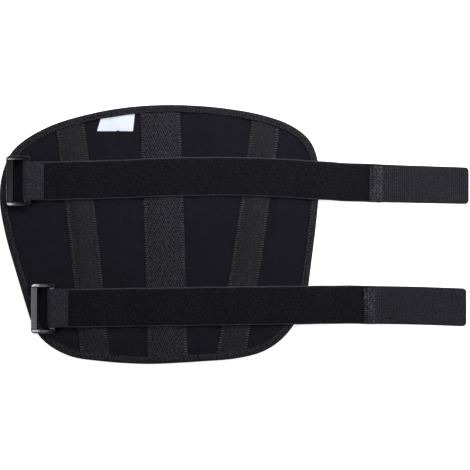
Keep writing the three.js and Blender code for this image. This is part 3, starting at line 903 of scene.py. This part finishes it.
def binding_stitches():
    """Straight stitches through the binding, near its inner edge, above and below."""
    pitch = 3.4 * MM
    half_length = 1.1 * MM
    seam_inset = 5.8 * MM
    sunk = 0.2 * MM
    _, nearest = inset_of(evenly(outline, pitch, closed=True))
    threads = []
    for place in nearest:
        spot = outline[place] - outward[place] * seam_inset
        start = spot - heading[place] * half_length
        end = spot + heading[place] * half_length
        for side in (1, -1):
            low = height_of("edge_binding", *start, side) - sunk * side
            high = height_of("edge_binding", *end, side) - sunk * side
            if math.isfinite(low + high):
                threads.append(((*start, low), (*end, high), side))
    return stitches("binding_stitches", threads, DARK_THREAD, radius=0.3 * MM, bow=0.22 * MM)


# Stay pockets


def pocket_rows(pocket, step):
    """A pocket's columns, as distances from its middle line, and the places of its rows in each of them, from
    under the wrist binding to under the elbow binding."""
    tuck = 2.4 * MM  # how far inside the outline its ends are
    tried = np.linspace(0.35, 0.5, 120)
    columns = np.concatenate([[-1, -0.97, -0.9], np.linspace(-0.8, 0.8, 17), [0.9, 0.97, 1]]) * pocket["half"]
    rows = round(PANEL_LENGTH / step)
    shares = np.linspace(0, 1, rows)
    places = np.empty((rows, len(columns), 2))
    for j, aside in enumerate(columns):
        reach = {}
        for side in (-1, 1):
            ys = side * tried * PANEL_LENGTH
            inset, _ = inset_of(np.column_stack([pocket_line(pocket, ys) + aside, ys]))
            reach[side] = ys[inset > tuck][-1]
        ys = reach[-1] + (reach[1] - reach[-1]) * shares
        places[:, j] = np.column_stack([pocket_line(pocket, ys) + aside, ys])
    return columns, places


def stay_pocket(name, material):
    """Webbing that follows its node's top, dented along its seams, with its edges turned down."""
    pocket = POCKETS[name]
    half = pocket["half"]
    columns, places = pocket_rows(pocket, 2 * MM)
    # The edges are read a little further in, where the node still has a top
    inside = places.copy()
    inside[:, :, 0] += np.clip(columns, -half + 0.4 * MM, half - 0.4 * MM) - columns
    tops = np.array([[top_of(name, x, y) for x, y in row] for row in inside])
    tops = np.array([filled(column) for column in tops.T]).T
    tops = eased(tops, 4)
    tops = eased(tops.T, 2).T
    dent, dent_inset, dent_width = 0.16 * MM, 1.7 * MM, 0.9 * MM
    sewn = np.exp(-(((np.abs(columns) - half + dent_inset) / dent_width) ** 2))
    tops = tops - dent * sewn * (1 + 0.5 * np.sin(np.arange(len(tops)) * 2.1))[:, None]
    edge = np.abs(columns) / half
    drop = np.where(edge >= 1, 0.6, np.where(edge > 0.95, 0.22, 0.0)) * MM
    upper = np.dstack([places, tops - drop])
    lower = np.dstack([places, np.minimum(tops - WEBBING, tops - drop - 0.3 * MM)])
    mesh = lofted(f"{name}_webbing", np.concatenate([upper, lower[:, ::-1]], axis=1))
    return finished(f"{name}_webbing", mesh, material, node=name, smooth=70)


def pocket_stitches(name):
    """Stitches across both long edges of a pocket, side by side, each reaching a little over the edge."""
    pocket = POCKETS[name]
    half = pocket["half"]
    pitch = (2.46 if name.startswith("centre") else 2.3) * MM
    over_edge = 0.25 * MM
    sunk = 0.12 * MM
    sunk_at_edge = 0.4 * MM
    chance = np.random.default_rng(5)
    threads = []
    for side in (-1, 1):
        for y in np.arange(-0.48 * PANEL_LENGTH, 0.48 * PANEL_LENGTH, pitch):
            reach = 3.5 * MM + chance.normal(0, 0.5) * MM
            skew = chance.normal(0, 0.12) * MM
            middle = pocket_line(pocket, y)
            start = (middle + side * (half - reach), y + skew)
            end = (middle + side * (half + over_edge), y - skew)
            inset, _ = inset_of([start, end])
            high = top_of(name, *start) - sunk
            low = top_of(name, middle + side * (half - 0.6 * MM), y) - sunk_at_edge
            if inset.min() >= BINDING_WIDTH - 0.5 * MM and math.isfinite(high + low):
                threads.append(((*start, high), (*end, low), 1))
    return stitches(f"{name}_stitches", threads, THREAD, radius=0.28 * MM, bow=0.3 * MM)


# Label


def label():
    """Blank tape from its free edge, which curls up a little, to where it ends under the binding."""
    low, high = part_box("label")
    lean_left, lean_right = 0.29, 0.11
    set_in = 1.1 * MM
    tuck = 3 * MM
    satin = 0.45 * MM
    elbow_edge = outline[outline[:, 1] > 0][::-1]
    loops = []
    for from_edge in np.linspace(0, 1, 16):
        points = []
        for share in np.linspace(0, 1, 25):
            reach = np.interp(low.x + share * LABEL_CUT, elbow_edge[:, 0], elbow_edge[:, 1]) - tuck
            up = from_edge * (min(reach, high.y - 0.4 * MM) - low.y)
            x = low.x + set_in + lean_left * up + share * (LABEL_CUT - (lean_left - lean_right) * up)
            y = low.y + up
            # The node is read between its slanting sides
            node_left = low.x + 0.2 * up
            inside = min(max(x, node_left + 0.5 * MM), node_left + 35.5 * MM)
            base = underside_of("label", inside, y + 0.01 * MM)
            base = low.z if math.isnan(base) else base
            curl = 0.5 * MM * (1 - from_edge) ** 2 * (0.4 + 0.6 * math.cos(math.pi * (share - 0.1)) ** 2)
            wave = 0.12 * MM * math.sin(9 * share + 2.5 * from_edge)
            points.append((x, y, base + 0.15 * MM + curl + wave * (1 - from_edge)))
        loops.append([(x, y, z + satin) for x, y, z in points] + points[::-1])
    mesh = lofted("label_tape", loops)
    return finished("label_tape", mesh, SATIN, node="label", smooth=60)


# Straps


def strap_path(which):
    """Middle of a strap's thickness, from its sewn end round the ring's bar to its far end, as X and Z."""
    node = f"{which}_strap"
    low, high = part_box(node)
    hinge = hinge_of(which)
    half = STRAP_THICKNESS / 2
    radius = hinge.x - low.x - half
    fold_end = low.x + FOLD_LENGTH - 0.1 * MM
    foot = hinge.x + radius * math.sin(FOLD_SLOPE) + 3.2 * MM
    fold = [(x, top_of(node, x, hinge.y) - half) for x in np.linspace(fold_end, foot, 8)]
    turns = np.linspace(math.pi / 2 - FOLD_SLOPE, math.pi * 1.5, 24)
    loop = [(hinge.x + radius * math.cos(t), hinge.z + radius * math.sin(t)) for t in turns]
    lower = []
    for x in np.arange(hinge.x + 2 * MM, high.x - 0.2 * MM, 2 * MM):
        lower.append((x, underside_of(node, x, strap_middle(which, x)) + half))
    lower.append((high.x, lower[-1][1]))
    return eased(evenly(fold + loop + lower, 1.2 * MM), 5)


def strap_section():
    """Corners of a strap's section in mm, aside and up, plush side first, and where its back starts."""
    asides = [19.0, 18.7, 17.9, 17.3, 16.2, 12.0, 6.0]
    plush_side = [0.0, 0.32, 0.42, 0.85, 1.02, 1.05, 1.05]
    back_side = [0.0, -0.4, -0.62, -0.8, -0.86, -0.88, -0.88]
    front = [(-a, h) for a, h in zip(asides, plush_side)] + [(0, 1.05)]
    front += [(a, h) for a, h in zip(asides[::-1], plush_side[::-1])]
    back = [(a, h) for a, h in zip(asides[1:], back_side[1:])] + [(0, -0.88)]
    back += [(-a, h) for a, h in zip(asides[:0:-1], back_side[:0:-1])]
    return front + back, len(front) - 1


def plush_strap(which):
    """The strap's section carried along its path, with plush, back and selvages in their own materials."""
    path = strap_path(which)
    ahead = np.gradient(path, axis=0)
    ahead /= np.linalg.norm(ahead, axis=1, keepdims=True)
    up = np.column_stack([-ahead[:, 1], ahead[:, 0]])
    section, back_from = strap_section()
    middles = eased([strap_middle(which, x) for x in path[:, 0]], 6)
    run = np.arange(len(path))
    loops = np.empty((len(path), len(section), 3))
    for k, (aside, height) in enumerate(section):
        uneven = 1 + 0.05 * np.sin(run * 0.37 + aside) * (height > 0.8)
        edge = 0.12 * np.sin(run * 0.21 + 0.5) * (abs(aside) > 15)
        loops[:, k, 0] = path[:, 0] + up[:, 0] * height * uneven * MM
        loops[:, k, 1] = middles + (aside + edge) * MM
        loops[:, k, 2] = path[:, 1] + up[:, 1] * height * uneven * MM
    cloths = [PLUSH, STRAP_BACK, SELVAGE]

    def side_of_cloth(station, place):
        if place in (0, 1, back_from - 2, back_from - 1):
            return cloths.index(SELVAGE)
        return cloths.index(STRAP_BACK if place >= back_from else PLUSH)

    name = f"{which}_strap_webbing"
    mesh = lofted(name, loops, slot_of=side_of_cloth)
    return finished(name, mesh, cloths, node=f"{which}_strap", smooth=60)


def fold_stitches(which):
    """Rows of stitches across the strap that hold its fold."""
    node = f"{which}_strap"
    low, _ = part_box(node)
    hinge = hinge_of(which)
    seam = FOLD_ROWS[which]
    pitch = 2.4 * MM
    threads = []
    for row in range(seam["rows"]):
        x = low.x + seam["first"] + row * seam["spacing"]
        for y in np.arange(hinge.y - STRAP_HALF + 1.5 * MM, hinge.y + STRAP_HALF - 2.5 * MM, pitch):
            z = top_of(node, x, y) - 0.1 * MM
            threads.append(((x, y, z), (x, y + pitch * 0.8, z), 1))
    return stitches(f"{which}_fold_stitches", threads, STRAP_THREAD, radius=0.22 * MM, bow=0.15 * MM)


# Hook tabs


def tab_stations(which):
    """X, middle Y, half width and underside of a hook tab at each of its stations."""
    node = f"{which}_hook_tab"
    low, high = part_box(node)
    corner_from = high.x - TAB_CORNER
    turns = np.linspace(0, math.pi / 2, 7)[1:]
    xs = np.concatenate([np.arange(low.x, corner_from, TAB_STEP), corner_from + TAB_CORNER * np.sin(turns)])
    xs[-1] = high.x - 0.02 * MM
    rows = []
    for x in xs:
        at = min(max(x, low.x + 0.05 * MM), corner_from - 0.05 * MM)
        under = underside_of(node, at, (low.y + high.y) / 2)
        south, north = sides_of(node, at, under + 1 * MM)
        into = max(x - corner_from, 0)
        cut = TAB_CORNER - math.sqrt(max(TAB_CORNER**2 - into**2, 0))
        rows.append((x, (south + north) / 2, (north - south) / 2 - cut, under))
    rows = np.array(rows)
    rows[:, 1] = eased(rows[:, 1], 4)
    rows[:, 3] = np.maximum(eased(rows[:, 3], 4), 0)
    return rows


def tab_at(rows, x):
    """Middle Y, half width and underside of a hook tab at any X."""
    return [np.interp(x, rows[:, 0], column) for column in rows.T[1:]]


def hook_tape(which):
    """The tab's woven ground, a little proud along its edges."""
    shares = [-1, -0.985, -0.95, -0.8, -0.4, 0, 0.4, 0.8, 0.95, 0.985, 1]
    rises = [0.55, 0.85, 1.1, 1.0, 1.0, 1.0, 1.0, 1.0, 1.1, 0.85, 0.55]
    loops = []
    for x, middle, half, under in tab_stations(which):
        upper = [(x, middle + s * half, under + r * TAPE) for s, r in zip(shares, rises)]
        lower = [(x, middle + s * half, under) for s in (0.985, 0.5, 0, -0.5, -0.985)]
        loops.append(upper + lower)

    def brushed_over(station, place):
        return int(station < round(TAB_BRUSHED / TAB_STEP))

    name = f"{which}_hook_tape"
    mesh = lofted(name, loops, slot_of=brushed_over)
    return finished(name, mesh, [HOOK_BASE, PLUSH], node=f"{which}_hook_tab", smooth=60)


def hooks(which):
    """The field of little nylon hooks on a tab, in rows that bend turn and turn about."""
    rows = tab_stations(which)
    spacing_along = 1.95 * MM
    spacing_across = 1.7 * MM
    tallest = 0.93 * MM
    # A hook's line as reach and rise, and half its thickness along it
    stem = np.array([(0, 0), (0.02, 0.45), (0.16, 0.78), (0.42, 0.88), (0.62, 0.66)]) * MM
    girth = np.array([0.24, 0.21, 0.19, 0.17, 0.12]) * MM
    around = 4
    chance = np.random.default_rng(11)
    points, faces = [], []
    xs = np.arange(rows[0, 0] + HOOK_ZONE[which] + 1 * MM, rows[-1, 0] - 2.2 * MM, spacing_along)
    for row, x in enumerate(xs):
        middle, half, under = tab_at(rows, x)
        half = half - 1.5 * MM
        base = under + TAPE - 0.05 * MM
        bend = 1 if row % 2 else -1
        for y in np.arange(middle - half + (row % 2) * spacing_across / 2, middle + half, spacing_across):
            turn = chance.normal(0, 0.6)
            tall = 1 + chance.normal(0, 0.08)
            root_x = x + chance.normal(0, 0.32) * MM
            root_y = y + chance.normal(0, 0.28) * MM
            faces += tube_faces(len(points), len(stem), around)
            for (reach, rise), width in zip(stem, girth):
                for round_stem in np.arange(around) * 2 * math.pi / around:
                    px = root_x + bend * reach * math.cos(turn) + width * math.cos(round_stem)
                    py = root_y + reach * math.sin(turn) + width * math.sin(round_stem)
                    points.append((px, py, base + min(rise * tall, tallest)))
    return finished(f"{which}_hooks", new_mesh(f"{which}_hooks", points, faces), HOOK_NYLON)


def tab_stitches(which):
    """Zigzag rows that tack the near end of a hook tab to the strap."""
    rows = tab_stations(which)
    pitch = 1.95 * MM
    chance = np.random.default_rng(8)
    first = 0.6 * MM
    tacks = 4
    width = (HOOK_ZONE[which] - first) / tacks
    threads = []
    for tack in range(tacks):
        near = rows[0, 0] + first + tack * width
        middle, half, under = tab_at(rows, near)
        half = half - 1.3 * MM
        z = under + TAPE - 0.08 * MM
        for row, y in enumerate(np.arange(middle - half, middle + half, pitch)):
            slant = 0.25 * pitch * (1 if row % 2 else -1) + chance.normal(0, 0.2) * MM
            reach = width * chance.uniform(0.75, 1.05)
            x = near + chance.normal(0.2, 0.25) * MM
            threads.append(((x, y - slant / 2, z), (x + reach, y + slant / 2, z), 1))
    return stitches(f"{which}_tab_stitches", threads, LIGHT_THREAD, radius=0.34 * MM, bow=0.3 * MM)


def tab_edge_stitches(which):
    """One straight row of small stitches along the near edge of a hook tab."""
    near_x, middle, half, under = tab_stations(which)[0]
    pitch = 2.6 * MM
    x = near_x + 1.1 * MM
    half = half - 1.2 * MM
    z = under + TAPE - 0.1 * MM
    ys = np.arange(middle - half, middle + half - pitch, pitch)
    threads = [((x, y, z), (x, y + pitch * 0.75, z), 1) for y in ys]
    return stitches(f"{which}_tab_edge_stitches", threads, STRAP_THREAD, radius=0.24 * MM, bow=0.2 * MM)


# Rings


def rounded_section(half_width, half_height, corner, shares=(0.25, 0.5, 0.75)):
    """Round a bar's section, from its outer side over the top. Shares are the points across its flats."""
    points = []
    for turn, (sx, sz) in enumerate(((1, 1), (-1, 1), (-1, -1), (1, -1))):
        for t in np.linspace(turn + 0.04, turn + 0.96, 6) * math.pi / 2:
            across = sx * (half_width - corner) + corner * math.cos(t)
            points.append((across, sz * (half_height - corner) + corner * math.sin(t)))
        if turn % 2 == 0:
            for share in shares:
                points.append((sx * (half_width - corner) * (1 - 2 * share), sz * half_height))
    return points


def corner_cut(radius, from_end):
    """How much a rounded corner takes off a side, this far from the end."""
    left = radius - np.clip(from_end, 0, radius)
    return radius - np.sqrt(radius**2 - left**2)


def long_bar(x, width, corner, half_y):
    """A straight bar along Y, a little thinner than the end bars and slightly dished on top.
    Its flats have points close to their ends, so that they shade as flats."""
    half_width = width / 2
    flat = half_width - corner
    shares = (0.04, 0.35, 0.65, 0.96)
    section = rounded_section(half_width, RING_THICKNESS / 2 - RING_STEP, corner, shares)
    loops = []
    for y in np.linspace(-half_y, half_y, 15):
        loop = []
        for aside, rise in section:
            if rise > 0 and abs(aside) < flat:
                rise -= RING_DISH * (1 - abs(aside + flat / 2) / (1.5 * flat))
            loop.append((x + aside, y, rise))
        loops.append(loop)
    return loops


def end_bar(left, right, half_y, side):
    """A bar along X that bows up between its ends, with the ring's two corners rounded into it."""
    inner = half_y - RING_SIDE_BAR
    ends_lower = 0.3  # as a share of the bow
    turns = np.linspace(0, math.pi, 36)
    loops = []
    for x in (left + right) / 2 - (right - left) / 2 * np.cos(turns):
        from_end = min(x - left, right - x)
        outer = half_y - corner_cut(RING_CORNER, from_end)
        half_width = (outer - inner) / 2
        half_height = RING_THICKNESS / 2 - corner_cut(RING_ROUND, from_end)
        along = (x - left) / (right - left)
        bow = RING_BOW * (4 * along * (1 - along) - ends_lower)
        section = rounded_section(half_width, half_height, min(RING_ROUND, 0.9 * half_width))
        loops.append([(x, side * ((outer + inner) / 2 + aside), rise + bow) for aside, rise in section])
    return loops


def united(meshes):
    """One solid made of several that overlap."""
    solids = []
    for mesh in meshes:
        faces_out(mesh)
        solids.append(new_object("bar", mesh))
    for other in solids[1:]:
        union = solids[0].modifiers.new("union", "BOOLEAN")
        union.operation = "UNION"
        union.solver = "EXACT"
        union.object = other
    whole = bpy.data.meshes.new_from_object(solids[0].evaluated_get(bpy.context.evaluated_depsgraph_get()))
    for solid in solids:
        bpy.data.objects.remove(solid)
    return whole


def ring(which):
    """A moulded frame: two long bars with an end bar across each end, tilted as its node lies."""
    node = f"{which}_ring"
    low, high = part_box(node)
    hinge = hinge_of(which)
    spread = hinge.x - low.x - RING_LONG_BAR / 2
    half_y = (high.y - low.y) / 2
    reach = half_y - RING_SIDE_BAR / 2
    left, right = -spread - RING_LONG_BAR / 2, RING_LONG_BAR / 2
    bars = [
        long_bar(-spread, RING_LONG_BAR, LONG_BAR_ROUND, reach),
        long_bar(0, RING_HIDDEN_BAR, RING_ROUND, reach),
        end_bar(left, right, half_y, 1),
        end_bar(left, right, half_y, -1),
    ]
    tilt = math.asin((hinge.z - low.z - RING_THICKNESS / 2) / spread)
    across = np.array((math.cos(tilt), 0, math.sin(tilt)))
    upward = np.array((-math.sin(tilt), 0, math.cos(tilt)))
    meshes = []
    for number, bar in enumerate(np.array(bar) for bar in bars):
        tilted = bar[:, :, :1] * across + bar[:, :, 1:2] * (0, 1, 0) + bar[:, :, 2:] * upward
        meshes.append(lofted(f"{which}_bar_{number}", tilted + np.array(hinge)))
    name = f"{node}_frame"
    return finished(name, united(meshes), PLASTIC, node=node, body=node, smooth=35)


# Stage, light and camera


def stage():
    """The floor, just under the splint."""
    reach = 4.0
    drop = -0.2 * MM
    corners = [(-reach, -reach, drop), (reach, -reach, drop), (reach, reach, drop), (-reach, reach, drop)]
    mesh = new_mesh("floor", corners, [(0, 1, 2, 3)])
    mesh.materials.append(floor_board())
    floor = new_object("floor", mesh)


def softbox(name, place, size, watts, aim=(0, 0, 0), tint=(0.97, 0.965, 1.0)):
    """An oblong lamp that faces the place it is aimed at."""
    light = bpy.data.lights.new(name, "AREA")
    light.shape = "RECTANGLE"
    light.size, light.size_y = size
    light.energy = watts
    light.color = tint
    lamp = new_object(name, light)
    lamp.location = place
    lamp.rotation_euler = (Vector(aim) - Vector(place)).to_track_quat("-Z", "Y").to_euler()


def studio():
    """Light from behind the elbow edge, from high on the left, and a little from the right."""
    world = bpy.data.worlds.new("Studio")
    world.use_nodes = True
    background = world.node_tree.nodes["Background"]
    background.inputs["Color"].default_value = (0.97, 0.98, 1.0, 1)
    background.inputs["Strength"].default_value = 0.12
    bpy.context.scene.world = world
    cool = (0.93, 0.935, 1.0)
    cooler = (0.84, 0.9, 1.0)
    softbox("Back softbox", (0.16, 0.42, 0.5), size=(1.2, 0.35), watts=7.8, aim=(0.1, 0.34, 0))
    left = (-0.89, -0.06)
    softbox("Left softbox", (*left, 1.2), size=(0.31, 0.3), watts=5.0, aim=(*left, 0), tint=cool)
    card = (-0.6, -0.15)
    softbox("Small card", (*card, 1.2), size=(0.13, 0.2), watts=0.29, aim=(*card, 0), tint=cooler)
    softbox("Right softbox", (1.2, 0.3, 0.8), size=(1.0, 0.5), watts=1.9)
    bpy.context.scene.view_settings.view_transform = "Standard"


def camera():
    """Straight above, with the picture's width covering 462 mm at the height of the splint's face."""
    view = bpy.data.cameras.new("Camera")
    distance = 1.6
    picture_width = 0.4624
    view.sensor_width = 36
    view.lens = view.sensor_width * distance / picture_width
    eye = new_object("Camera", view)
    eye.location = (0.4 * MM, -0.6 * MM, distance + 5 * MM)
    bpy.context.scene.camera = eye


def bound_panel():
    """The padded panel and the tape folded round its edge."""
    foam_panel()
    tape = edge_binding()
    seam = binding_stitches()


def pockets():
    """The three strips of webbing over the stays, each with its seams."""
    for name, pocket in POCKETS.items():
        strip = stay_pocket(name, HERRINGBONE if name.startswith("centre") else TWILL)
        seam = pocket_stitches(name)


def sewn_label():
    label()


def strap_with_ring(which):
    """A strap turned back round its ring's hidden bar, with its hook tape sewn on the far end."""
    strap = plush_strap(which)
    fold_seam = fold_stitches(which)
    tape = hook_tape(which)
    on_tape = [hooks(which), tab_stitches(which), tab_edge_stitches(which)]
    ring(which)
    length_of(strap_path(which))


stage()
studio()
camera()
bound_panel()
pockets()
sewn_label()
for strap_name in STRAPS:
    strap_with_ring(strap_name)
